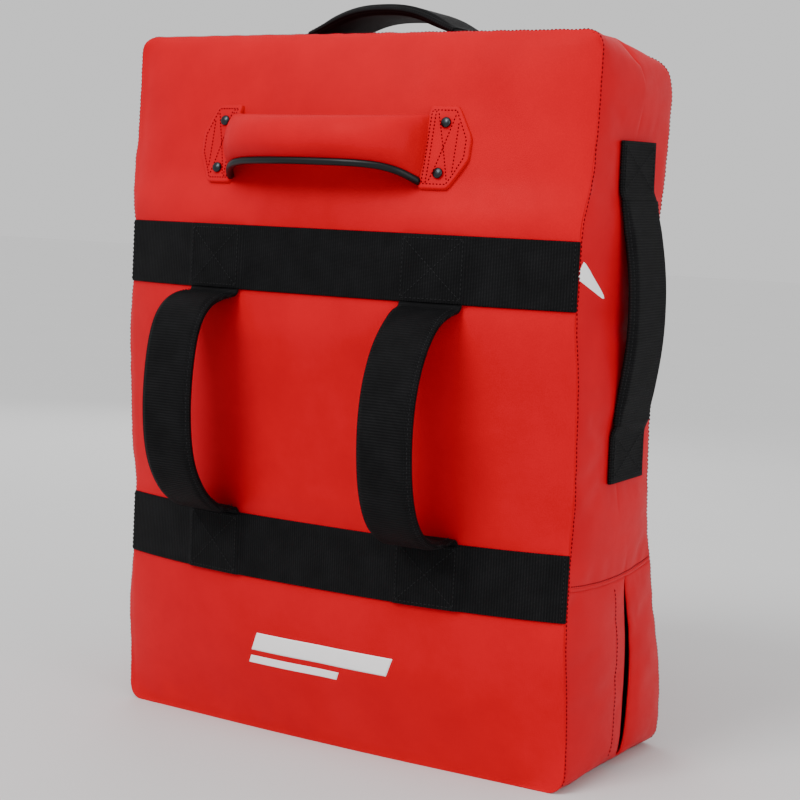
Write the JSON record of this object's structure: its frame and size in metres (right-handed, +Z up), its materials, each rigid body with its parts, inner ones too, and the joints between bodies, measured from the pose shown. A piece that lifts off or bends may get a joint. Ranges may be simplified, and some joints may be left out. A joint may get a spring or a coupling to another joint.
{
  "type": "padded kick shield",
  "caption": "Tall padded striking shield with a leather cover, webbing arm loops, a padded grip and carry handles, for holding in front of the body while a partner kicks it.",
  "frame": {"origin": "centre of the base, on the surface that the shield stands on", "axes": "+Z up along the shield's height, -Y toward the holder (arm loops and grip), +Y toward the striking face, +X to the right as seen by someone facing the holder's side"},
  "size_m": [0.45, 0.2838, 0.584],
  "materials": {
    "red_leather": "satin",
    "black_webbing": "matte",
    "black_piping": "satin",
    "firm_foam": "matte",
    "soft_foam": "matte",
    "closure_tape": "matte",
    "rivet_metal": "satin",
    "white_print": "satin",
    "thread_black": "matte",
    "thread_red": "matte"
  },
  "bodies": {
    "pad": {"holder_panel": "red_leather", "strike_panel": "red_leather", "upper_wall": "red_leather", "lower_wall": "red_leather", "closure_strip": "red_leather", "hook_tape": "closure_tape", "loop_tape": "closure_tape", "holder_foam": "firm_foam", "core_foam": "soft_foam", "strike_foam": "soft_foam", "upper_band": "black_webbing", "lower_band": "black_webbing", "arm_loop_left_ends": "black_webbing", "arm_loop_right_ends": "black_webbing", "side_handle_left_ends": "black_webbing", "side_handle_right_ends": "black_webbing", "top_handle_ends": "black_webbing", "grip_anchor_left": "red_leather", "grip_anchor_right": "red_leather", "grip_rivets_left": "rivet_metal", "grip_rivets_right": "rivet_metal", "grip_washers": "rivet_metal"},
    "arm_loop_left": {"arm_loop_left_outer": "black_webbing", "arm_loop_left_foam": "soft_foam", "arm_loop_left_inner": "black_webbing"},
    "arm_loop_right": {"arm_loop_right_outer": "black_webbing", "arm_loop_right_foam": "soft_foam", "arm_loop_right_inner": "black_webbing"},
    "side_handle_left": {"side_handle_left_sleeve": "black_webbing", "side_handle_left_foam": "soft_foam", "side_handle_left_webbing": "black_webbing"},
    "side_handle_right": {"side_handle_right_sleeve": "black_webbing", "side_handle_right_foam": "soft_foam", "side_handle_right_webbing": "black_webbing"},
    "top_handle": {"top_handle_sleeve": "black_webbing", "top_handle_foam": "soft_foam", "top_handle_webbing": "black_webbing"},
    "grip": {"grip_cover": "red_leather", "grip_core": "soft_foam", "grip_piping": "black_piping"}
  },
  "joints": [
    {"name": "arm_loop_left_swing", "type": "hinge", "parent": "pad", "child": "arm_loop_left", "pos_m": [-0.098, -0.1287, 0.268], "axis": [0, 0, 1], "range_deg": [-28, 28]},
    {"name": "arm_loop_right_swing", "type": "hinge", "parent": "pad", "child": "arm_loop_right", "pos_m": [0.098, -0.1287, 0.268], "axis": [0, 0, 1], "range_deg": [-28, 28]},
    {"name": "side_handle_left_fold", "type": "hinge", "parent": "pad", "child": "side_handle_left", "pos_m": [-0.203, -0.029, 0.356], "axis": [0, -0.0401, 0.9992], "range_deg": [-16, 16]},
    {"name": "side_handle_right_fold", "type": "hinge", "parent": "pad", "child": "side_handle_right", "pos_m": [0.203, -0.029, 0.356], "axis": [0, -0.0401, 0.9992], "range_deg": [-16, 16]},
    {"name": "top_handle_fold", "type": "hinge", "parent": "pad", "child": "top_handle", "pos_m": [-0.008, -0.029, 0.55], "axis": [1, 0, 0], "range_deg": [-18, 18]},
    {"name": "grip_swing", "type": "hinge", "parent": "pad", "child": "grip", "pos_m": [-0.008, -0.1199, 0.468], "axis": [1, 0, 0], "range_deg": [-20, 20]}
  ]
}
